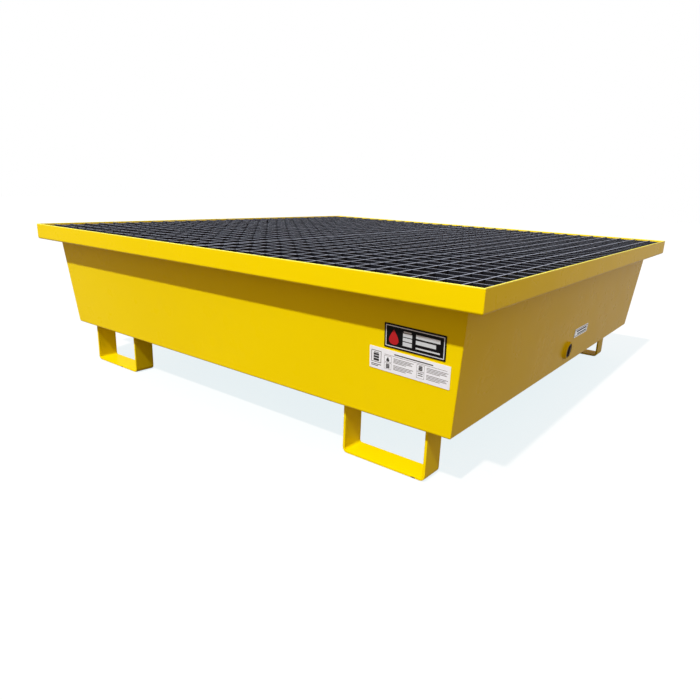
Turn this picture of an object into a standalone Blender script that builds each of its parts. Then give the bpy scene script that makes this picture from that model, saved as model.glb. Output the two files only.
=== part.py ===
"""A four-drum spill containment pallet: a tapered steel sump on four flat-bar feet, decked with grating.

Metres, +Z up. The origin is on the ground under the pallet's middle. The labelled front wall faces -Y,
and the drain is in the right wall, which faces +X. Plan and rim are square, so the four walls are one
folded pressing turned about the middle.
"""

import math

import bmesh
import bpy
from mathutils import Matrix, Vector

# Sump
SIDE = 1.250  # over the rim, both ways
FOOT_HEIGHT = 0.100
SUMP_DEPTH = 0.220  # underside of the floor to underside of the ledge
RIM_HEIGHT = 0.038
LEDGE_INSET = 0.040  # rim's outer face to wall's outer face, under the ledge
FLOOR_INSET = 0.060  # the same, at the floor
FLOOR_FLANGE = 0.075  # how far a wall turns in under the floor plate
SHEET = 0.003
FOLD_RADIUS = 0.0045  # outside of a fold
FLOOR_MARGIN = 0.008  # floor plate's edge to the wall's outer face
FLOOR_CORNER = 0.012
GAP = 0.0003  # left between pieces that touch
FOLD_STEPS = 4

# Feet: U shapes bent from flat bar, open front to back so that forks pass through
FOOT_WIDTH = 0.178
FOOT_BAR = 0.050
FOOT_THICKNESS = 0.005
FOOT_FOLD_RADIUS = 0.010
FOOT_SIDE_INSET = 0.110  # rim's outer face to the foot, on the left and right
FOOT_END_INSET = 0.078  # the same, on the front and rear

# Deck support inside the sump
BEAM_WIDTH = 0.050
BEAM_HEIGHT = 0.070
BEAM_END_INSET = 0.058  # rim's outer face to the beam's end
POST_SIDE = 0.040
BRACKET_LENGTH = 0.060
BRACKET_SHELF = 0.045
BRACKET_DROP = 0.045
BRACKET_THICKNESS = 0.005

# Deck: two grating panels side by side, the cross bars at twice the real spacing
DECK_HEIGHT = 0.033
DECK_CLEARANCE = 0.0035  # rim's inner face to a panel
DECK_SPLIT = 0.003  # between the two panels
BAR = 0.003
BEARING_PITCH = 0.0415
BEARING_BARS = 15
CROSS_PITCH = 2 * BEARING_PITCH
CROSS_BARS = 15

# Drain: 1 inch pipe socket through the right wall, and a plug that screws in flush onto a gasket
DRAIN_ALONG = -0.021  # from the wall's middle, towards the front
DRAIN_HEIGHT = 0.1385
SOCKET_RADIUS = 0.0200
SOCKET_BORE = 0.0169
SOCKET_INSIDE = 0.012
SOCKET_OUTSIDE = 0.0065
SOCKET_CHAMFER = 0.0006
SEAT_RADIUS = 0.0110  # hole through the seat at the socket's inner end
SEAT_THICKNESS = 0.0025
THREAD_RADIUS = 0.0165
GASKET_HOLE = 0.0125
GASKET_THICKNESS = 0.0015
PLUG_SUNK = 0.0010  # plug's face behind the socket's end
GRIP_LENGTH = 0.024  # bar across the plug's face, for a wrench
GRIP_WIDTH = 0.006
GRIP_HEIGHT = 0.003
TURN_STEPS = 40

# Labels and welds
LABEL_THICKNESS = 0.0006
LABEL_CORNER = 0.0006
WELD_RADIUS = 0.0025

LEDGE_Z = FOOT_HEIGHT + SUMP_DEPTH
DECK_SEAT_Z = LEDGE_Z + SHEET
FLOOR_TOP_Z = FOOT_HEIGHT + 2 * SHEET + GAP
TAPER = math.atan2(FLOOR_INSET - LEDGE_INSET, SUMP_DEPTH)
TURNS = {"front": 0.0, "right": math.pi / 2, "rear": math.pi, "left": -math.pi / 2}


def clear_scene():
    for obj in list(bpy.data.objects):
        bpy.data.objects.remove(obj)


def new_collection(name):
    collection = bpy.data.collections.new(name)
    bpy.context.scene.collection.children.link(collection)
    return collection


def make_material(name, colour, roughness, metallic=0.0):
    material = bpy.data.materials.new(name)
    material.use_nodes = True
    shader = material.node_tree.nodes["Principled BSDF"]
    shader.inputs["Base Color"].default_value = (*colour, 1.0)
    shader.inputs["Roughness"].default_value = roughness
    shader.inputs["Metallic"].default_value = metallic
    return material


def make_object(name, data, material, collection, matrix=Matrix.Identity(4)):
    """An object for one piece. Copies of a piece share their data, which holds the first one's material."""
    if not data.materials:
        data.materials.append(material)
    obj = bpy.data.objects.new(name, data)
    obj.matrix_world = matrix
    collection.objects.link(obj)
    return obj


def mesh_from(bm, name):
    bmesh.ops.recalc_face_normals(bm, faces=bm.faces)
    mesh = bpy.data.meshes.new(name)
    bm.to_mesh(mesh)
    bm.free()
    return mesh


def wall_inset(height):
    """How far a wall's outer face is inside the rim's, at this height."""
    return LEDGE_INSET + (LEDGE_Z - height) * math.tan(TAPER)


def on_wall(side, along, height):
    """A place on a wall's outer face: +X runs along the wall, +Y up its slope, +Z out of it."""
    point = Vector((along, wall_inset(height) - SIDE / 2, height))
    turned = Matrix.Rotation(TURNS[side], 4, "Z")
    return turned @ Matrix.Translation(point) @ Matrix.Rotation(math.pi / 2 + TAPER, 4, "X")


def shifted(path, distance):
    """The path moved to its left, mitred at its corners."""
    steps = [(end - start).normalized() for start, end in zip(path, path[1:])]
    normals = [Vector((-step.y, step.x)) for step in steps]
    moved = []
    for point, before, after in zip(path, normals[:1] + normals, normals + normals[-1:]):
        mitre = (before + after).normalized()
        moved.append(point + mitre * distance / mitre.dot(after))
    return moved


def rounded(path, radius):
    """The path with each of its corners turned into an arc."""
    points = [path[0]]
    for before, corner, after in zip(path, path[1:], path[2:]):
        back = (before - corner).normalized()
        ahead = (after - corner).normalized()
        half = back.angle(ahead) / 2
        centre = corner + (back + ahead).normalized() * radius / math.sin(half)
        start = corner + back * radius / math.tan(half) - centre
        end = corner + ahead * radius / math.tan(half) - centre
        turn = math.pi - 2 * half
        for i in range(FOLD_STEPS + 1):
            part = turn * i / FOLD_STEPS
            points.append(centre + (start * math.sin(turn - part) + end * math.sin(part)) / math.sin(turn))
    return points + [path[-1]]


def folded_outline(outside, thickness, outer_radius):
    """Outline of a strip folded along a path. The path is its outer face, with the metal on the left."""
    corners = shifted([Vector(point) for point in outside], thickness / 2)
    middle = rounded(corners, outer_radius - thickness / 2)
    return shifted(middle, thickness / 2) + shifted(middle, -thickness / 2)[::-1]


def carried_across(name, outline, axis):
    """A solid from an end face to its mirror image across the plane where this axis is 0."""
    bm = bmesh.new()
    end = bm.faces.new([bm.verts.new(point) for point in outline])
    grown = bmesh.ops.extrude_face_region(bm, geom=[end])["geom"]
    for vert in grown:
        if isinstance(vert, bmesh.types.BMVert):
            vert.co[axis] = -vert.co[axis]
    mesh = mesh_from(bm, name)
    mesh.shade_smooth()
    mesh.set_sharp_from_angle(angle=math.radians(35))
    return mesh


def plate_mesh(name, width, depth, thickness, corner):
    """A flat plate about its middle, its four corners rounded."""
    bm = bmesh.new()
    bmesh.ops.create_cube(bm, size=1.0, matrix=Matrix.Diagonal((width, depth, thickness, 1.0)))
    upright = [edge for edge in bm.edges if abs(edge.verts[0].co.z - edge.verts[1].co.z) > thickness / 2]
    bmesh.ops.bevel(bm, geom=upright, offset=corner, segments=FOLD_STEPS, affect="EDGES")
    return mesh_from(bm, name)


def wall_mesh():
    """The front wall: rim, ledge, sloping wall and floor flange folded from one sheet, its ends mitred."""
    outside = [
        (0.0, LEDGE_Z + RIM_HEIGHT),
        (0.0, LEDGE_Z),
        (LEDGE_INSET, LEDGE_Z),
        (FLOOR_INSET, FOOT_HEIGHT),
        (FLOOR_INSET + FLOOR_FLANGE, FOOT_HEIGHT),
    ]
    outline = folded_outline(outside, SHEET, FOLD_RADIUS)
    setback = GAP / math.sqrt(2)
    half = SIDE / 2
    return carried_across("wall", [(inset + setback - half, inset - half, z) for inset, z in outline], 0)


def build_walls(paint, collection, cutters):
    mesh = wall_mesh()
    for side, turn in TURNS.items():
        wall = make_object(f"{side}_wall", mesh, paint, collection, Matrix.Rotation(turn, 4, "Z"))
        if side == "right":
            cut = wall.modifiers.new("drain_hole", "BOOLEAN")
            cut.operation = "DIFFERENCE"
            cut.object = drain_cutter(paint, cutters)


def drain_cutter(paint, cutters):
    bm = bmesh.new()
    radius = SOCKET_RADIUS + GAP
    bmesh.ops.create_cone(bm, cap_ends=True, segments=TURN_STEPS, radius1=radius, radius2=radius, depth=0.03)
    place = on_wall("right", DRAIN_ALONG, DRAIN_HEIGHT)
    cutter = make_object("drain_hole_cutter", mesh_from(bm, "drain_hole_cutter"), paint, cutters, place)
    cutter.hide_render = True
    cutter.display_type = "WIRE"
    return cutter


def build_floor(paint, collection):
    width = SIDE - 2 * (FLOOR_INSET + FLOOR_MARGIN)
    place = Matrix.Translation((0, 0, FLOOR_TOP_Z - SHEET / 2))
    mesh = plate_mesh("base_plate", width, width, SHEET, FLOOR_CORNER)
    make_object("base_plate", mesh, paint, collection, place)


def build_feet(paint, collection):
    half = FOOT_WIDTH / 2
    top = FOOT_HEIGHT - GAP
    outline = folded_outline(
        [(-half, top), (-half, 0.0), (half, 0.0), (half, top)], FOOT_THICKNESS, FOOT_FOLD_RADIUS
    )
    mesh = carried_across("foot", [(x, -FOOT_BAR / 2, z) for x, z in outline], 1)
    across = SIDE / 2 - FOOT_SIDE_INSET - half
    along = SIDE / 2 - FOOT_END_INSET - FOOT_BAR / 2
    for end, y in (("front", -along), ("rear", along)):
        for side, x in (("left", -across), ("right", across)):
            make_object(f"foot_{end}_{side}", mesh, paint, collection, Matrix.Translation((x, y, 0)))


def build_corner_welds(paint, collection):
    """A weld bead up the inside of each corner, which makes the sump tight."""
    clear = (SHEET + GAP + WELD_RADIUS) / math.cos(TAPER) + GAP
    low, high = FLOOR_TOP_Z + WELD_RADIUS, LEDGE_Z - WELD_RADIUS
    for end, y in (("front", -1), ("rear", 1)):
        for side, x in (("left", -1), ("right", 1)):
            name = f"corner_weld_{end}_{side}"
            curve = bpy.data.curves.new(name, "CURVE")
            curve.dimensions = "3D"
            curve.bevel_depth = WELD_RADIUS
            curve.bevel_resolution = 2
            curve.use_fill_caps = True
            bead = curve.splines.new("POLY")
            bead.points.add(1)
            for point, z in zip(bead.points, (low, high)):
                out = SIDE / 2 - wall_inset(z) - clear
                point.co = (x * out, y * out, z, 1.0)
            make_object(name, curve, paint, collection)


def build_deck_support(paint, collection):
    half = BEAM_WIDTH / 2
    top = DECK_SEAT_Z
    low = top - BEAM_HEIGHT
    outline = folded_outline([(half, low), (half, top), (-half, top), (-half, low)], SHEET, FOLD_RADIUS)
    end = BEAM_END_INSET - SIDE / 2
    mesh = carried_across("support_beam", [(end, y, z) for y, z in outline], 0)
    make_object("support_beam", mesh, paint, collection)
    build_post(paint, collection, FLOOR_TOP_Z + GAP, top - SHEET - GAP)
    build_brackets(paint, collection, low - GAP)


def build_post(paint, collection, low, high):
    """A square tube that stands on the floor and carries the beam's middle."""
    bm = bmesh.new()
    corner = POST_SIDE / math.sqrt(2)
    bmesh.ops.create_cone(
        bm,
        segments=4,
        radius1=corner,
        radius2=corner,
        depth=high - low,
        matrix=Matrix.Rotation(math.pi / 4, 4, "Z"),
    )
    place = Matrix.Translation((0, 0, (low + high) / 2))
    post = make_object("support_post", mesh_from(bm, "support_post"), paint, collection, place)
    shell = post.modifiers.new("wall_thickness", "SOLIDIFY")
    shell.thickness = SHEET
    shell.offset = -1
    shell.use_even_offset = True


def build_brackets(paint, collection, shelf_z):
    """An angle on the inside of the left and right walls, under each end of the beam."""
    foot_z = shelf_z - BRACKET_DROP
    behind = (SHEET + GAP) / math.cos(TAPER)
    outside = [
        (wall_inset(shelf_z) + behind + BRACKET_SHELF, shelf_z),
        (wall_inset(shelf_z) + behind, shelf_z),
        (wall_inset(foot_z) + behind, foot_z),
    ]
    outline = folded_outline(outside, BRACKET_THICKNESS, FOOT_FOLD_RADIUS)
    ends = [(-BRACKET_LENGTH / 2, inset - SIDE / 2, z) for inset, z in outline]
    mesh = carried_across("beam_bracket", ends, 0)
    for side in ("left", "right"):
        turned = Matrix.Rotation(TURNS[side], 4, "Z")
        make_object(f"beam_bracket_{side}", mesh, paint, collection, turned)


def bar_edges(first, pitch, count):
    """The two edges of each of a row of bars, in order."""
    return [first + i * pitch + edge for i in range(count) for edge in (0, BAR)]


def deck_mesh(width, length):
    """A panel about its middle: bearing bars along Y from its -X edge, and cross bars."""
    across = bar_edges(-width / 2, BEARING_PITCH, BEARING_BARS) + [width / 2]
    first_cross = -(CROSS_BARS - 1) * CROSS_PITCH / 2 - BAR / 2
    along = [-length / 2] + bar_edges(first_cross, CROSS_PITCH, CROSS_BARS) + [length / 2]
    bm = bmesh.new()
    grid = [[bm.verts.new((x, y, DECK_HEIGHT / 2)) for y in along] for x in across]
    for i in range(len(across) - 1):
        for j in range(len(along) - 1):
            if i % 2 == 0 or j % 2 == 1:
                bm.faces.new((grid[i][j], grid[i + 1][j], grid[i + 1][j + 1], grid[i][j + 1]))
    loose = [vert for vert in bm.verts if not vert.link_faces]
    bmesh.ops.delete(bm, geom=loose, context="VERTS")
    return mesh_from(bm, "grate_panel")


def build_deck(steel, collection):
    """Two panels that drop in from above, onto the ledge and the beam."""
    outer = SIDE / 2 - SHEET - DECK_CLEARANCE
    width = outer - DECK_SPLIT / 2
    mesh = deck_mesh(width, 2 * outer)
    middle = (DECK_SPLIT + width) / 2
    height = DECK_SEAT_Z + GAP + DECK_HEIGHT / 2
    for side, turn in (("right", 0.0), ("left", math.pi)):
        place = Matrix.Rotation(turn, 4, "Z") @ Matrix.Translation((middle, 0, height))
        panel = make_object(f"grate_panel_{side}", mesh, steel, collection, place)
        depth = panel.modifiers.new("bar_height", "SOLIDIFY")
        depth.thickness = DECK_HEIGHT
        depth.offset = -1


def profile_mesh(name, profile, closed):
    bm = bmesh.new()
    verts = [bm.verts.new((radius, 0, z)) for radius, z in profile]
    for start, end in zip(verts, verts[1:]):
        bm.edges.new((start, end))
    if closed:
        bm.edges.new((verts[-1], verts[0]))
    mesh = bpy.data.meshes.new(name)
    bm.to_mesh(mesh)
    bm.free()
    return mesh


def turn(obj):
    """Turns the object's profile about its own Z axis."""
    screw = obj.modifiers.new("turned", "SCREW")
    screw.axis = "Z"
    screw.steps = TURN_STEPS
    screw.render_steps = TURN_STEPS
    screw.use_merge_vertices = True
    screw.merge_threshold = 0.00001
    screw.use_smooth_shade = False


def build_drain(paint, rubber, iron, collection, cutters):
    """Socket, gasket and plug on one axis, which stands square to the right wall."""
    axis = bpy.data.objects.new("drain_axis", None)
    axis.matrix_world = on_wall("right", DRAIN_ALONG, DRAIN_HEIGHT)
    collection.objects.link(axis)
    end, chamfer = SOCKET_OUTSIDE, SOCKET_CHAMFER
    seat = SEAT_THICKNESS - SOCKET_INSIDE
    socket = profile_mesh(
        "drain_socket",
        [
            (SOCKET_RADIUS - chamfer, end),
            (SOCKET_RADIUS, end - chamfer),
            (SOCKET_RADIUS, -SOCKET_INSIDE),
            (SEAT_RADIUS, -SOCKET_INSIDE),
            (SEAT_RADIUS, seat),
            (SOCKET_BORE, seat),
            (SOCKET_BORE, end - chamfer),
            (SOCKET_BORE + chamfer, end),
        ],
        closed=True,
    )
    low, high = seat + GAP, seat + GAP + GASKET_THICKNESS
    gasket = profile_mesh(
        "drain_gasket",
        [(THREAD_RADIUS, high), (THREAD_RADIUS, low), (GASKET_HOLE, low), (GASKET_HOLE, high)],
        closed=True,
    )
    face, base = end - PLUG_SUNK, high + GAP
    plug = profile_mesh(
        "drain_plug",
        [
            (0.0, face),
            (THREAD_RADIUS - chamfer, face),
            (THREAD_RADIUS, face - chamfer),
            (THREAD_RADIUS, base + chamfer),
            (THREAD_RADIUS - chamfer, base),
            (0.0, base),
        ],
        closed=False,
    )
    for mesh, material in ((socket, paint), (gasket, rubber), (plug, iron)):
        piece = make_object(mesh.name, mesh, material, collection)
        piece.parent = axis
        turn(piece)
    join = piece.modifiers.new("grip", "BOOLEAN")
    join.operation = "UNION"
    join.object = grip_bar(iron, cutters, axis, face)


def grip_bar(iron, cutters, axis, face):
    """The bar across the plug's face, sunk halfway in so that the two join."""
    bm = bmesh.new()
    sunk = GRIP_HEIGHT / 2
    size = Matrix.Diagonal((GRIP_WIDTH, GRIP_LENGTH, GRIP_HEIGHT + sunk, 1.0))
    place = Matrix.Translation((0, 0, face + (GRIP_HEIGHT - sunk) / 2))
    bmesh.ops.create_cube(bm, size=1.0, matrix=place @ size)
    bar = make_object("plug_grip", mesh_from(bm, "plug_grip"), iron, cutters)
    bar.parent = axis
    bar.hide_render = True
    bar.display_type = "WIRE"
    return bar


def build_labels(collection):
    """Blank stickers, put on by hand a degree or two off level: two on the front wall, one by the drain."""
    black = make_material("label_black", (0.02, 0.02, 0.02), 0.35)
    white = make_material("label_white", (0.75, 0.75, 0.73), 0.4)
    silver = make_material("plate_silver", (0.6, 0.6, 0.6), 0.35, 0.6)
    labels = (
        ("brand_plate", black, "front", 0.4955, 0.252, 0.1125, 0.0415, -1.4),
        ("instruction_label", white, "front", 0.485, 0.2075, 0.151, 0.0388, -2.0),
        ("rating_plate", silver, "right", 0.062, 0.1715, 0.100, 0.0215, 0.0),
    )
    for name, material, side, along, height, width, depth, slant in labels:
        mesh = plate_mesh(name, width, depth, LABEL_THICKNESS, LABEL_CORNER)
        lift = Matrix.Translation((0, 0, GAP + LABEL_THICKNESS / 2))
        place = on_wall(side, along, height) @ lift @ Matrix.Rotation(math.radians(slant), 4, "Z")
        make_object(name, mesh, material, collection, place)


def main():
    clear_scene()
    parts = new_collection("spill_containment_pallet")
    cutters = new_collection("cutters")
    paint = make_material("yellow_paint", (0.83, 0.62, 0.0), 0.38)
    steel = make_material("galvanised_steel", (0.33, 0.35, 0.38), 0.45, 0.8)
    rubber = make_material("gasket_rubber", (0.02, 0.02, 0.02), 0.8)
    iron = make_material("plug_iron", (0.05, 0.045, 0.04), 0.5, 0.5)
    build_floor(paint, parts)
    build_walls(paint, parts, cutters)
    build_feet(paint, parts)
    build_corner_welds(paint, parts)
    build_deck_support(paint, parts)
    build_deck(steel, parts)
    build_drain(paint, rubber, iron, parts, cutters)
    build_labels(parts)


main()
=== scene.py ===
import math
import random

import bmesh
import bpy
from mathutils import Matrix, Quaternion, Vector


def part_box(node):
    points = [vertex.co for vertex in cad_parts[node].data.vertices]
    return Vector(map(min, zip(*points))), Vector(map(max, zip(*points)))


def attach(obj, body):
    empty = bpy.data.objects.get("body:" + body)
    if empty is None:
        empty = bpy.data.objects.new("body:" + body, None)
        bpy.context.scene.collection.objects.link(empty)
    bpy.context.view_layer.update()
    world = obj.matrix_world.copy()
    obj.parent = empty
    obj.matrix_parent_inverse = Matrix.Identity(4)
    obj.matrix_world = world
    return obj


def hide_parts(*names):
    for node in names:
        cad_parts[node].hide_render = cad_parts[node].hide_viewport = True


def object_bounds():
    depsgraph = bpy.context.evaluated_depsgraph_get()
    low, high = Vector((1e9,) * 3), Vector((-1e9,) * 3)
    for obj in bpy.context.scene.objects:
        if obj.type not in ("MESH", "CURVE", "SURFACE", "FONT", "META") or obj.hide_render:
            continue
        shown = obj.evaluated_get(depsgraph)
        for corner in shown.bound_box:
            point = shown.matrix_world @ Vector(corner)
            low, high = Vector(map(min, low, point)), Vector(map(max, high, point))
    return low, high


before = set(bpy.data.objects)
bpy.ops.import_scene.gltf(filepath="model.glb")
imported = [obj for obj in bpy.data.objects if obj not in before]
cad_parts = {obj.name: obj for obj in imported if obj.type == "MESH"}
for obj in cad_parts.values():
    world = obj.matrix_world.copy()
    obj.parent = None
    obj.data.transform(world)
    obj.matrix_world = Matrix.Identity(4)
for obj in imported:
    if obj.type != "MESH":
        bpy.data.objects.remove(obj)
CAD_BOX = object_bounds()

# The pallet's sizes, read from the frame
HALF_SIDE, _, RIM_TOP = CAD_BOX[1]
PANEL_LOW, PANEL_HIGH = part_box("grate_panel_right")

# The same sizes as in part.py where the frame's boxes don't give them
FLOOR_UNDERSIDE = 0.100
LEDGE_UNDERSIDE = 0.320
LEDGE_INSET = 0.040
FLOOR_INSET = 0.060
FLOOR_FLANGE = 0.075
SHEET = 0.003
FOLD_RADIUS = 0.0045
LABEL_TOP = 0.0009
BRAND_SLANT = math.radians(-1.4)
INSTRUCTION_SLANT = math.radians(-2.0)
DRAIN_ALONG = -0.021
DRAIN_HEIGHT = 0.1385
SOCKET_RADIUS = 0.0200
PLUG_RADIUS = 0.0165
PLUG_FACE = 0.0055
PLUG_LENGTH = 0.0129
THREAD_PITCH = 0.002309
THREAD_MARGIN = 0.001  # plain length at either end of the thread
THREAD_SUNK = 0.0003  # thread's centre line inside the plug's radius
THREAD_STEPS = 32  # points on a turn
TAPER = math.atan2(FLOOR_INSET - LEDGE_INSET, LEDGE_UNDERSIDE - FLOOR_UNDERSIDE)
TURNS = {"front": 0.0, "right": math.pi / 2, "rear": math.pi, "left": -math.pi / 2}
BAR = 0.003
BAR_PITCH = 0.0415
BEARING_BARS = 15
CROSS_BARS = 29
CROSS_HEIGHT = 0.008
SEAM_RADIUS = 0.0014
WELD_RADIUS = 0.0022
SOCKET_WELD_RADIUS = 0.0013
INK = 0.00006
CHIP_HEIGHT = 0.0018  # middle of a paint chip above the ground
CHIP_THICKNESS = 0.00008
CHIP_POINTS = 14
EDGE_ROUND = 0.0004  # grating bars' softened edges
CROSS_DROP = 0.0004  # cross bars' tops under the bearing bars' tops

# Camera and light
CAMERA_PLACE = Vector((0.936, -1.327, 0.481))
CAMERA_AIM = Vector((0.113, -0.239, 0.090))
CAMERA_ROLL = math.radians(2.2)
CAMERA_LENS = 29.42
SUN_FROM = Vector((0.07, -0.577, 0.815))


# ---------------------------------------------------------------- node helpers


class Nodes:
    """A material's node tree, with short calls for the nodes that the finishes use."""

    def __init__(self, name):
        self.material = bpy.data.materials.new(name)
        self.material.use_nodes = True
        self.tree = self.material.node_tree
        self.shader = self.tree.nodes["Principled BSDF"]
        coordinates = self.tree.nodes.new("ShaderNodeTexCoord")
        self.place = coordinates.outputs["Object"]
        self.facing = coordinates.outputs["Normal"]

    def add(self, kind, **settings):
        node = self.tree.nodes.new(f"ShaderNode{kind}")
        for key, value in settings.items():
            setattr(node, key, value)
        return node

    def link(self, source, target):
        self.tree.links.new(source, target)

    def set(self, **values):
        for key, value in values.items():
            self.shader.inputs[key.replace("_", " ")].default_value = value

    def stretched(self, scale):
        """The object's own coordinates, scaled along each axis."""
        mapping = self.add("Mapping")
        mapping.inputs["Scale"].default_value = scale
        self.link(self.place, mapping.inputs["Vector"])
        return mapping.outputs["Vector"]

    def noise(self, scale, detail=4.0, roughness=0.5, where=None):
        node = self.add("TexNoise")
        node.inputs["Scale"].default_value = scale
        node.inputs["Detail"].default_value = detail
        node.inputs["Roughness"].default_value = roughness
        self.link(where or self.place, node.inputs["Vector"])
        return node.outputs["Fac"]

    def cells(self, scale, where=None):
        node = self.add("TexVoronoi")
        node.inputs["Scale"].default_value = scale
        self.link(where or self.place, node.inputs["Vector"])
        return node.outputs["Color"]

    def ramp(self, source, *stops):
        """A colour ramp; each stop is (position, grey or colour)."""
        node = self.add("ValToRGB")
        elements = node.color_ramp.elements
        while len(elements) < len(stops):
            elements.new(0.5)
        for element, (position, value) in zip(elements, stops):
            element.position = position
            colour = value if isinstance(value, tuple) else (value, value, value)
            element.color = (*colour, 1.0)
        self.link(source, node.inputs["Fac"])
        return node.outputs["Color"]

    def mix(self, factor, first, second, blend="MIX"):
        """Mixes two colours, each a socket or a tuple."""
        node = self.add("Mix", data_type="RGBA", blend_type=blend)
        self.feed(factor, node.inputs["Factor"])
        for value, target in ((first, node.inputs["A"]), (second, node.inputs["B"])):
            self.feed(value, target)
        return node.outputs["Result"]

    def feed(self, value, target):
        if isinstance(value, bpy.types.NodeSocket):
            self.link(value, target)
        elif isinstance(value, tuple):
            target.default_value = (*value, 1.0)
        else:
            target.default_value = value

    def maths(self, operation, first, second):
        node = self.add("Math", operation=operation)
        self.feed(first, node.inputs[0])
        self.feed(second, node.inputs[1])
        return node.outputs["Value"]

    def height(self):
        """Height above the ground, in metres."""
        split = self.add("SeparateXYZ")
        self.link(self.place, split.inputs["Vector"])
        return split.outputs["Z"]

    def upward(self):
        """How far the surface faces up, 0 on a side and 1 on a top."""
        split = self.add("SeparateXYZ")
        self.link(self.facing, split.inputs["Vector"])
        return split.outputs["Z"]

    def between(self, source, low, high):
        """0 below one value and 1 above the other."""
        node = self.add("MapRange")
        node.inputs["From Min"].default_value = low
        node.inputs["From Max"].default_value = high
        self.link(source, node.inputs["Value"])
        return node.outputs["Result"]

    def bump(self, source, distance, strength=1.0, under=None):
        node = self.add("Bump")
        node.inputs["Strength"].default_value = strength
        node.inputs["Distance"].default_value = distance
        self.link(source, node.inputs["Height"])
        if under is not None:
            self.link(under, node.inputs["Normal"])
        return node.outputs["Normal"]

    def colour(self, source):
        self.feed(source, self.shader.inputs["Base Color"])

    def roughness(self, source, low, high):
        node = self.add("MapRange")
        node.inputs["To Min"].default_value = low
        node.inputs["To Max"].default_value = high
        self.link(source, node.inputs["Value"])
        self.link(node.outputs["Result"], self.shader.inputs["Roughness"])

    def normal(self, source):
        self.link(source, self.shader.inputs["Normal"])


# ------------------------------------------------------------------- materials


def yellow_paint():
    """Semi-gloss safety yellow powder coat: orange peel, clouding, dust, scuffs, and a painted highlight
    along the rim's top edge.
    """
    n = Nodes("yellow_powder_coat")
    clouds = n.noise(3.0, detail=3.0)
    base = n.mix(clouds, (0.80, 0.615, 0.0), (0.86, 0.675, 0.0))
    dust = n.ramp(n.noise(26.0, detail=8.0, roughness=0.7), (0.52, 0.0), (0.78, 0.05))
    base = n.mix(dust, base, (0.66, 0.48, 0.03))
    scuffs = n.noise(1.0, detail=6.0, roughness=0.75, where=n.stretched((14.0, 14.0, 160.0)))
    scuffed = n.ramp(scuffs, (0.69, 0.0), (0.78, 0.12))
    base = n.mix(scuffed, base, (0.58, 0.42, 0.04))
    # Painted highlight: a paler yellow band just under the rim's top, where the sun would catch the edge.
    rim_highlight = n.between(n.height(), RIM_TOP - 0.0018, RIM_TOP - 0.0008)
    n.colour(n.mix(rim_highlight, base, (0.90, 0.88, 0.12)))
    n.roughness(n.noise(18.0, detail=5.0), 0.22, 0.36)
    peel = n.bump(n.noise(520.0, detail=2.0), 0.0001, 0.15)
    waves = n.bump(n.noise(9.0, detail=1.0), 0.0009, 0.35, under=peel)
    n.normal(waves)
    n.set(Specular_IOR_Level=0.045)
    return n.material


def foot_paint():
    """The same powder coat, chipped to bare steel where the feet meet the ground."""
    n = Nodes("yellow_powder_coat_worn")
    base = n.mix(n.noise(3.0, detail=3.0), (0.80, 0.615, 0.0), (0.86, 0.675, 0.0))
    low = n.between(n.height(), 0.008, 0.0)
    chips = n.noise(90.0, detail=6.0, roughness=0.65)
    bare = n.ramp(n.maths("MULTIPLY", chips, low), (0.56, 0.0), (0.58, 1.0))
    n.colour(n.mix(bare, base, (0.16, 0.15, 0.14)))
    n.roughness(n.noise(18.0, detail=5.0), 0.26, 0.42)
    peel = n.bump(n.noise(520.0, detail=2.0), 0.0001, 0.15)
    n.normal(n.bump(bare, -0.0003, 0.6, under=peel))
    n.set(Specular_IOR_Level=0.045)
    return n.material


def galvanised():
    """Hot-dip galvanised steel: spangled zinc, lighter on the top faces as painted light, with painted shade
    on the side faces that goes near black just under the tops.
    """
    n = Nodes("galvanised_zinc")
    spangle = n.cells(150.0)
    base = n.mix(spangle, (0.36, 0.44, 0.57), (0.50, 0.60, 0.76))
    stain = n.ramp(n.noise(14.0, detail=8.0, roughness=0.7), (0.40, 0.0), (0.75, 0.6))
    base = n.mix(stain, base, (0.20, 0.24, 0.30))
    # Painted shade: the bars' sides darken to near black over their top 20 mm, fully from 11 mm under the
    # top.
    painted_shade_under_top = n.between(n.height(), PANEL_HIGH.z - 0.020, PANEL_HIGH.z - 0.011)
    shaded_sides = n.mix(painted_shade_under_top, n.mix(stain, (0.16, 0.18, 0.21), (0.07, 0.08, 0.09)), (0.012, 0.014, 0.020))
    # Painted light by facing: up-facing faces get the lighter zinc colour, the side faces the painted shade.
    lit_top_faces = n.between(n.upward(), 0.72, 0.98)
    n.colour(n.mix(lit_top_faces, shaded_sides, base))
    n.roughness(n.noise(70.0, detail=4.0), 0.45, 0.70)
    n.set(Metallic=0.12, Specular_IOR_Level=0.1)
    n.normal(n.bump(n.noise(240.0, detail=4.0), 0.0005, 0.8))
    return n.material


def blackened_iron():
    """Blackened malleable iron, worn brighter in small patches and gritty where it was cast."""
    n = Nodes("blackened_iron")
    rubbed = n.ramp(n.noise(160.0, detail=6.0), (0.45, 0.0), (0.72, 0.7))
    n.colour(n.mix(rubbed, (0.030, 0.022, 0.018), (0.13, 0.10, 0.08)))
    n.roughness(n.noise(220.0), 0.35, 0.62)
    n.set(Metallic=0.6)
    n.normal(n.bump(n.noise(900.0), 0.0002, 0.5))
    return n.material


def bare_steel():
    """Mild steel where the paint is knocked off, browned a little."""
    n = Nodes("bare_steel")
    n.colour(n.mix(n.noise(400.0, detail=5.0), (0.05, 0.035, 0.022), (0.13, 0.11, 0.09)))
    n.roughness(n.noise(300.0), 0.45, 0.75)
    n.set(Metallic=0.4)
    n.normal(n.bump(n.noise(900.0), 0.0001, 0.6))
    return n.material


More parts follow.
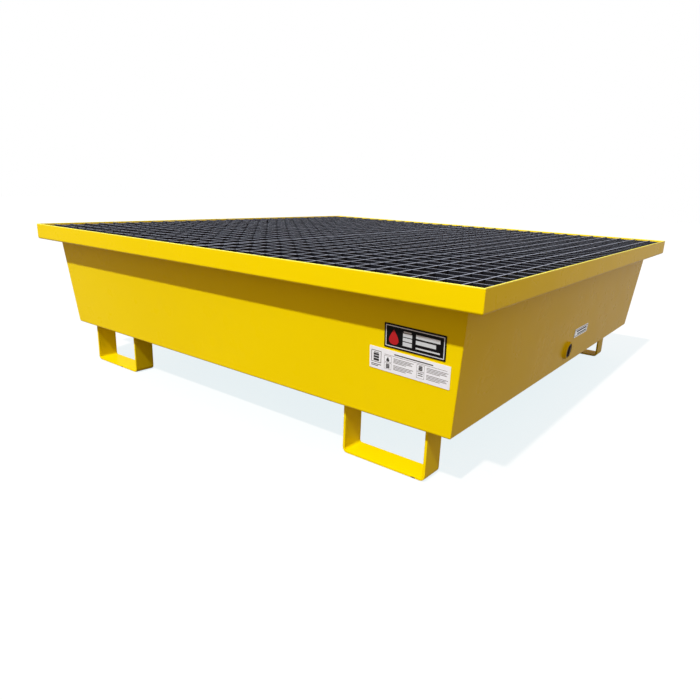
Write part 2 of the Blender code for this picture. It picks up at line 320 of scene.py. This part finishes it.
def rubber():
    """Dull black rubber."""
    n = Nodes("gasket_rubber_black")
    n.colour(n.mix(n.noise(300.0), (0.016, 0.016, 0.016), (0.035, 0.034, 0.033)))
    n.roughness(n.noise(200.0), 0.65, 0.85)
    n.normal(n.bump(n.noise(1200.0), 0.0001, 0.5))
    return n.material


def film(name, light, dark, low, high, gloss):
    """Printed film: flat ink under a thin laminate, with a few rubbed patches."""
    n = Nodes(name)
    n.colour(n.mix(n.noise(60.0, detail=5.0), light, dark))
    n.roughness(n.noise(90.0), low, high)
    n.set(Specular_IOR_Level=gloss)
    n.normal(n.bump(n.noise(700.0), 0.00004, 0.5))
    return n.material


def foil():
    """Bright brushed foil of the small plate."""
    n = Nodes("anodised_foil")
    grain = n.noise(1.0, detail=3.0, where=n.stretched((60.0, 60.0, 2200.0)))
    n.colour(n.mix(grain, (0.85, 0.92, 0.97), (0.92, 0.97, 1.0)))
    n.roughness(grain, 0.16, 0.30)
    n.set(Metallic=0.9)
    n.normal(n.bump(grain, 0.00004, 0.4))
    return n.material


# -------------------------------------------------------------------- geometry


def piece(name, bm, material, body, slot, *replaced):
    """A finished mesh piece that rides on a CAD body."""
    bmesh.ops.recalc_face_normals(bm, faces=bm.faces)
    mesh = bpy.data.meshes.new(name)
    bm.to_mesh(mesh)
    bm.free()
    mesh.materials.append(material)
    obj = bpy.data.objects.new(name, mesh)
    bpy.context.scene.collection.objects.link(obj)
    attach(obj, body)
    if replaced:
        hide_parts(*replaced)
    return obj


def tube(name, path, radius, material, body, closed=False, steps=3):
    """A round bead along a path; each point may carry its own share of the radius."""
    curve = bpy.data.curves.new(name, "CURVE")
    curve.dimensions = "3D"
    curve.bevel_depth = radius
    curve.bevel_resolution = steps
    curve.use_fill_caps = True
    spline = curve.splines.new("POLY")
    spline.points.add(len(path) - 1)
    spline.use_cyclic_u = closed
    for point, place in zip(spline.points, path):
        point.co = (*place[:3], 1.0)
        point.radius = place[3] if len(place) > 3 else 1.0
    curve.materials.append(material)
    obj = bpy.data.objects.new(name, curve)
    bpy.context.scene.collection.objects.link(obj)
    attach(obj, body)
    return obj


def finish_node(node, material, edge=0.0):
    """Gives a CAD node its material and, with an edge radius, softened edges in place of faceted ones."""
    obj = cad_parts[node]
    for slot in obj.material_slots:
        slot.material = material
    if not edge:
        return
    weld = obj.modifiers.new("weld", "WELD")
    weld.merge_threshold = 0.000002
    flat = obj.modifiers.new("flat", "DECIMATE")
    flat.decimate_type = "DISSOLVE"
    flat.angle_limit = math.radians(0.5)
    round_off = obj.modifiers.new("edges", "BEVEL")
    round_off.width = edge
    round_off.segments = 3
    round_off.limit_method = "ANGLE"
    round_off.angle_limit = math.radians(40)
    round_off.harden_normals = False
    shade = obj.modifiers.new("shade", "WEIGHTED_NORMAL")
    shade.keep_sharp = False


def box(bm, low, high):
    """An axis-aligned box between two corners."""
    size = Vector(high) - Vector(low)
    middle = (Vector(high) + Vector(low)) / 2
    place = Matrix.Translation(middle) @ Matrix.Diagonal((*size, 1.0))
    return bmesh.ops.create_cube(bm, size=1.0, matrix=place)["verts"]


def grate_mesh(turn):
    """One grating panel: flat bearing bars along Y, and cross bars let in just under their tops."""
    bm = bmesh.new()
    low, high = PANEL_LOW, PANEL_HIGH
    for i in range(BEARING_BARS):
        x = low.x + i * BAR_PITCH
        box(bm, (x, low.y, low.z), (x + BAR, high.y, high.z))
    top = high.z - CROSS_DROP
    for i in range(CROSS_BARS):
        y = (i - (CROSS_BARS - 1) / 2) * BAR_PITCH
        box(bm, (low.x + 0.0005, y - BAR / 2, top - CROSS_HEIGHT), (high.x, y + BAR / 2, top))
    bmesh.ops.bevel(bm, geom=bm.edges[:], offset=EDGE_ROUND, segments=1, affect="EDGES")
    bmesh.ops.transform(bm, matrix=Matrix.Rotation(turn, 4, "Z"), verts=bm.verts)
    return bm


def build_deck(zinc):
    for side, turn in (("right", 0.0), ("left", math.pi)):
        bars = grate_mesh(turn)
        piece(f"grating_{side}", bars, zinc, f"grate_{side}", "galvanised_steel", f"grate_panel_{side}")


def on_wall(side, along, height):
    """A place on a wall's outer face: +X runs along the wall, +Y up its slope, +Z out of it."""
    inset = LEDGE_INSET + (LEDGE_UNDERSIDE - height) * math.tan(TAPER)
    place = Matrix.Translation((along, inset - HALF_SIDE, height))
    return Matrix.Rotation(TURNS[side], 4, "Z") @ place @ Matrix.Rotation(math.pi / 2 + TAPER, 4, "X")


def shifted(path, distance):
    """The path moved to its left, mitred at its corners."""
    steps = [(end - start).normalized() for start, end in zip(path, path[1:])]
    normals = [Vector((-step.y, step.x)) for step in steps]
    moved = []
    for point, before, after in zip(path, normals[:1] + normals, normals + normals[-1:]):
        mitre = (before + after).normalized()
        moved.append(point + mitre * distance / mitre.dot(after))
    return moved


def rounded(path, radii, steps=4):
    """The path with each corner turned into an arc."""
    points = [path[0]]
    for before, corner, after, radius in zip(path, path[1:], path[2:], radii):
        back, ahead = (before - corner).normalized(), (after - corner).normalized()
        half = back.angle(ahead) / 2
        centre = corner + (back + ahead).normalized() * radius / math.sin(half)
        start = corner + back * radius / math.tan(half) - centre
        end = corner + ahead * radius / math.tan(half) - centre
        turn = math.pi - 2 * half
        for i in range(steps + 1):
            part = turn * i / steps
            points.append(centre + (start * math.sin(turn - part) + end * math.sin(part)) / math.sin(turn))
    return points + [path[-1]]


def build_seams(paint):
    """The welded and ground seam down each corner, where two folded walls meet."""
    outside = [
        Vector((0.0, RIM_TOP - SEAM_RADIUS)),
        Vector((0.0, LEDGE_UNDERSIDE)),
        Vector((LEDGE_INSET, LEDGE_UNDERSIDE)),
        Vector((FLOOR_INSET, FLOOR_UNDERSIDE)),
        Vector((FLOOR_INSET + FLOOR_FLANGE, FLOOR_UNDERSIDE)),
    ]
    face = rounded(outside, (FOLD_RADIUS, FOLD_RADIUS - SHEET, FOLD_RADIUS))
    middle = shifted(face, SEAM_RADIUS)
    for end, y in (("front", -1), ("rear", 1)):
        for side, x in (("left", -1), ("right", 1)):
            path = [(x * (HALF_SIDE - p.x), y * (HALF_SIDE - p.x), p.y) for p in middle]
            tube(f"seam_{end}_{side}", path, SEAM_RADIUS, paint, "tub")


def lumpy(path, chance, low=0.85, high=1.15):
    """The path with a share of the bead's radius at each point, as a hand-laid weld has."""
    return [(*point, chance.uniform(low, high)) for point in path]


def build_foot_welds(paint):
    """A fillet weld down the outside of each leg's top, under the sump."""
    chance = random.Random(5)
    for end in ("front", "rear"):
        for side in ("left", "right"):
            low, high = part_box(f"foot_{end}_{side}")
            for leg, x, out in (("inner", low.x, -1), ("outer", high.x, 1)):
                count = 18
                path = [
                    (x + out * 0.0008, low.y + 0.002 + (high.y - low.y - 0.004) * i / count, high.z - 0.0007)
                    for i in range(count + 1)
                ]
                name = f"weld_foot_{end}_{side}_{leg}"
                tube(name, lumpy(path, chance), WELD_RADIUS, paint, "tub")


def circle(place, radius, height, count):
    turns = (2 * math.pi * i / count for i in range(count))
    return [tuple(place @ Vector((radius * math.cos(t), radius * math.sin(t), height))) for t in turns]


def build_drain(paint, iron):
    """The weld round the socket, and the plug's cast rim and thread."""
    place = on_wall("right", DRAIN_ALONG, DRAIN_HEIGHT)
    ring = lumpy(circle(place, SOCKET_RADIUS + 0.0002, 0.0004, 64), random.Random(11))
    tube("weld_socket", ring, SOCKET_WELD_RADIUS, paint, "tub", closed=True)
    rim = circle(place, PLUG_RADIUS - 0.0016, PLUG_FACE, 48)
    tube("plug_rim", rim, 0.0007, iron, "drain_plug", closed=True)
    turns = (PLUG_LENGTH - 2 * THREAD_MARGIN) / THREAD_PITCH
    radius = PLUG_RADIUS - THREAD_SUNK
    thread = []
    for i in range(round(turns * THREAD_STEPS) + 1):
        angle = -2 * math.pi * i / THREAD_STEPS
        height = PLUG_FACE - THREAD_MARGIN - THREAD_PITCH * i / THREAD_STEPS
        point = Vector((radius * math.cos(angle), radius * math.sin(angle), height))
        thread.append(tuple(place @ point))
    tube("plug_thread", thread, 0.00055, iron, "drain_plug", steps=2)


class Print:
    """Ink on a label, laid out in millimetres from the label's middle."""

    def __init__(self, side, along, height, slant=0.0):
        lift = Matrix.Translation((0, 0, LABEL_TOP))
        self.place = on_wall(side, along, height) @ lift @ Matrix.Rotation(slant, 4, "Z")
        self.bm = bmesh.new()

    def shape(self, outline):
        verts = [self.bm.verts.new(self.place @ Vector((x / 1000, y / 1000, INK / 2))) for x, y in outline]
        face = self.bm.faces.new(verts)
        grown = bmesh.ops.extrude_face_region(self.bm, geom=[face])["geom"]
        out = (self.place.to_3x3() @ Vector((0, 0, INK)))
        bmesh.ops.translate(self.bm, vec=out, verts=[v for v in grown if isinstance(v, bmesh.types.BMVert)])

    def bar(self, x, y, width, depth):
        """A filled rectangle from its lower left corner."""
        self.shape([(x, y), (x + width, y), (x + width, y + depth), (x, y + depth)])

    def border(self, x, y, width, depth, line):
        self.bar(x, y, width, line)
        self.bar(x, y + depth - line, width, line)
        self.bar(x, y + line, line, depth - 2 * line)
        self.bar(x + width - line, y + line, line, depth - 2 * line)

    def drop(self, x, y, radius):
        turns = [2 * math.pi * i / 28 for i in range(28)]
        outline = [(radius * math.sin(t) * math.sin(t / 2) ** 1.5, radius * math.cos(t)) for t in turns]
        self.shape([(x + across, y + up) for across, up in outline])

    def drum(self, x, y, width, depth):
        """A drum from the side: three bands and a lid."""
        self.bar(x, y, width, depth * 0.27)
        self.bar(x, y + depth * 0.33, width, depth * 0.24)
        self.bar(x, y + depth * 0.63, width, depth * 0.24)
        self.bar(x + width * 0.08, y + depth * 0.92, width * 0.84, depth * 0.08)

    def lines(self, x, y, widths, pitch, line):
        for i, width in enumerate(widths):
            self.bar(x, y - i * pitch, width, line)

    def finish(self, name, material, slot):
        piece(name, self.bm, material, "tub", slot)


def build_prints(light_ink, dark_ink, red_ink):
    """Plain pictograms and rules on the three labels; there is no lettering on any of them."""
    plate = Print("front", 0.4955, 0.252, BRAND_SLANT)
    plate.border(-53.6, -18.1, 107.2, 36.2, 1.5)
    plate.drum(-21.0, -12.0, 17.0, 24.5)
    plate.lines(3.0, 5.0, (43.0, 36.0), 9.5, 6.5)
    plate.lines(3.0, -12.0, (43.0,), 3.0, 2.6)
    plate.finish("print_brand_plate", light_ink, "label_black")
    drop = Print("front", 0.4955, 0.252, BRAND_SLANT)
    drop.drop(-38.0, -1.0, 13.0)
    drop.finish("print_brand_drop", red_ink, "label_black")

    sheet = Print("front", 0.485, 0.2075, INSTRUCTION_SLANT)
    sheet.border(-72.0, -8.0, 20.0, 21.0, 1.0)
    sheet.drum(-67.5, -5.5, 11.0, 15.5)
    sheet.lines(-72.0, -12.0, (20.0, 14.0), 2.6, 1.3)
    sheet.bar(-27.0, 12.8, 72.0, 1.9)
    sheet.lines(-46.0, 10.2, (116.0,), 2.0, 0.5)
    for x in (-46.0, 16.0):
        for y in (-2.5, -14.5):
            sheet.border(x, y, 14.0, 11.0, 0.4)
            sheet.lines(x + 18.0, y + 8.6, (38.0, 34.0, 36.0, 24.0), 2.3, 0.8)
    sheet.drop(-39.0, 2.6, 4.2)
    sheet.drum(-42.5, -13.0, 7.0, 8.0)
    sheet.drum(19.5, -1.0, 7.0, 8.0)
    sheet.lines(18.5, -7.0, (9.0, 9.0), 3.4, 1.4)
    sheet.finish("print_instruction_label", dark_ink, "label_white")

    rating = Print("right", 0.062, 0.1715)
    rating.border(-47.0, -8.6, 94.0, 17.2, 1.6)
    rating.bar(-36.0, 1.0, 76.0, 4.0)
    rating.bar(-28.0, -5.4, 68.0, 3.2)
    rating.finish("print_rating_plate", dark_ink, "plate_silver")


def build_chips(steel):
    """Knocks in the paint along the feet's lower edges, down to the steel."""
    chance = random.Random(23)
    bm = bmesh.new()
    for foot, at, y_side in (
        ("foot_front_right", 0.87, -1),
        ("foot_front_left", 0.62, -1),
        ("foot_rear_right", 0.22, 1),
        ("foot_rear_left", 0.71, 1),
    ):
        low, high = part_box(foot)
        face_y = low.y if y_side < 0 else high.y
        middle = Vector((low.x + at * (high.x - low.x), face_y, CHIP_HEIGHT))
        length, depth = chance.uniform(0.0035, 0.0065), chance.uniform(0.0007, 0.0012)
        ring = []
        for i in range(CHIP_POINTS):
            angle = 2 * math.pi * i / CHIP_POINTS
            share = chance.uniform(0.65, 1.0)
            reach = Vector((length * share * math.cos(angle), 0, depth * share * math.sin(angle)))
            ring.append(middle + reach)
        inner = [bm.verts.new(p) for p in ring]
        face = bm.faces.new(inner)
        grown = bmesh.ops.extrude_face_region(bm, geom=[face])["geom"]
        verts = [v for v in grown if isinstance(v, bmesh.types.BMVert)]
        bmesh.ops.translate(bm, vec=(0, y_side * CHIP_THICKNESS, 0), verts=verts)
    piece("paint_chips", bm, steel, "tub", "yellow_paint")


# ------------------------------------------------------------- camera and light


def build_camera():
    data = bpy.data.cameras.new("camera")
    data.sensor_width = 36.0
    data.lens = CAMERA_LENS
    camera = bpy.data.objects.new("camera", data)
    bpy.context.scene.collection.objects.link(camera)
    camera.location = CAMERA_PLACE
    aim = (CAMERA_AIM - CAMERA_PLACE).to_track_quat("-Z", "Y")
    camera.rotation_mode = "QUATERNION"
    camera.rotation_quaternion = aim @ Quaternion((0, 0, 1), CAMERA_ROLL)
    bpy.context.scene.camera = camera


def build_light():
    data = bpy.data.lights.new("key", "SUN")
    data.energy = 3.88
    data.angle = math.radians(1.8)
    data.color = (1.0, 0.99, 0.96)
    key = bpy.data.objects.new("key", data)
    bpy.context.scene.collection.objects.link(key)
    key.rotation_mode = "QUATERNION"
    key.rotation_quaternion = (-SUN_FROM).to_track_quat("-Z", "Y")


def build_world():
    """A white studio that lights the pallet with a dimmer, warm fill, darker from below."""
    world = bpy.data.worlds.new("studio")
    world.use_nodes = True
    bpy.context.scene.world = world
    tree = world.node_tree
    background = tree.nodes["Background"]
    place = tree.nodes.new("ShaderNodeTexCoord")
    split = tree.nodes.new("ShaderNodeSeparateXYZ")
    level = tree.nodes.new("ShaderNodeMapRange")
    level.inputs["From Min"].default_value = -0.15
    level.inputs["From Max"].default_value = 0.15
    fill = tree.nodes.new("ShaderNodeMix")
    fill.data_type = "RGBA"
    fill.inputs["A"].default_value = (0.30, 0.215, 0.19, 1.0)
    fill.inputs["B"].default_value = (0.585, 0.43, 0.385, 1.0)
    path = tree.nodes.new("ShaderNodeLightPath")
    seen = tree.nodes.new("ShaderNodeMix")
    seen.data_type = "RGBA"
    seen.inputs["B"].default_value = (1.0, 1.0, 1.0, 1.0)
    tree.links.new(place.outputs["Generated"], split.inputs["Vector"])
    tree.links.new(split.outputs["Z"], level.inputs["Value"])
    tree.links.new(level.outputs["Result"], fill.inputs["Factor"])
    tree.links.new(path.outputs["Is Camera Ray"], seen.inputs["Factor"])
    tree.links.new(fill.outputs["Result"], seen.inputs["A"])
    tree.links.new(seen.outputs["Result"], background.inputs["Color"])


def build_floor():
    """A pale floor. Its glow keeps it white to the eye; the pallet is lit by what the floor reflects."""
    bm = bmesh.new()
    bmesh.ops.create_grid(bm, x_segments=2, y_segments=2, size=12.0)
    mesh = bpy.data.meshes.new("studio_floor")
    bm.to_mesh(mesh)
    bm.free()
    floor = bpy.data.objects.new("studio_floor", mesh)
    floor.location.z = -0.0005
    bpy.context.scene.collection.objects.link(floor)
    material = bpy.data.materials.new("studio_floor")
    material.use_nodes = True
    shader = material.node_tree.nodes["Principled BSDF"]
    shader.inputs["Base Color"].default_value = (0.14, 0.105, 0.09, 1.0)
    shader.inputs["Roughness"].default_value = 0.9
    shader.inputs["Emission Color"].default_value = (0.88, 0.97, 1.0, 1.0)
    path = material.node_tree.nodes.new("ShaderNodeLightPath")
    sheen = material.node_tree.nodes.new("ShaderNodeMath")
    sheen.operation = "MULTIPLY"
    sheen.inputs[1].default_value = 0.50
    glow = material.node_tree.nodes.new("ShaderNodeMath")
    glow.operation = "MULTIPLY_ADD"
    glow.inputs[1].default_value = 0.89
    material.node_tree.links.new(path.outputs["Is Glossy Ray"], sheen.inputs[0])
    material.node_tree.links.new(path.outputs["Is Camera Ray"], glow.inputs[0])
    material.node_tree.links.new(sheen.outputs["Value"], glow.inputs[2])
    material.node_tree.links.new(glow.outputs["Value"], shader.inputs["Emission Strength"])
    mesh.materials.append(material)


# ------------------------------------------------------------------------ main


def main():
    bpy.context.scene.view_settings.view_transform = "Standard"
    build_camera()
    build_light()
    build_world()
    build_floor()
    paint = yellow_paint()
    worn = foot_paint()
    zinc = galvanised()
    iron = blackened_iron()
    black_film = film("label_black_film", (0.003, 0.003, 0.004), (0.007, 0.007, 0.008), 0.25, 0.4, 0.05)
    white_film = film("label_white_film", (0.85, 0.91, 0.97), (0.78, 0.84, 0.90), 0.3, 0.45, 0.3)
    for side in TURNS:
        finish_node(f"{side}_wall", paint, 0.0009)
    for node in ("base_plate", "support_beam", "support_post", "beam_bracket_left", "beam_bracket_right"):
        finish_node(node, paint, 0.0006)
    for end in ("front", "rear"):
        for side in ("left", "right"):
            finish_node(f"foot_{end}_{side}", worn, 0.0008)
            finish_node(f"corner_weld_{end}_{side}", paint)
    finish_node("drain_socket", paint, 0.0004)
    finish_node("drain_gasket", rubber())
    finish_node("drain_plug", iron, 0.0005)
    finish_node("brand_plate", black_film)
    finish_node("instruction_label", white_film)
    finish_node("rating_plate", foil())
    build_deck(zinc)
    build_seams(paint)
    build_foot_welds(worn)
    build_drain(paint, iron)
    build_prints(
        film("ink_light", (0.60, 0.67, 0.71), (0.52, 0.58, 0.62), 0.3, 0.45, 0.3),
        film("ink_dark", (0.018, 0.02, 0.022), (0.04, 0.043, 0.046), 0.35, 0.5, 0.2),
        film("ink_red", (0.48, 0.012, 0.016), (0.40, 0.010, 0.014), 0.3, 0.45, 0.2),
    )
    build_chips(bare_steel())


main()
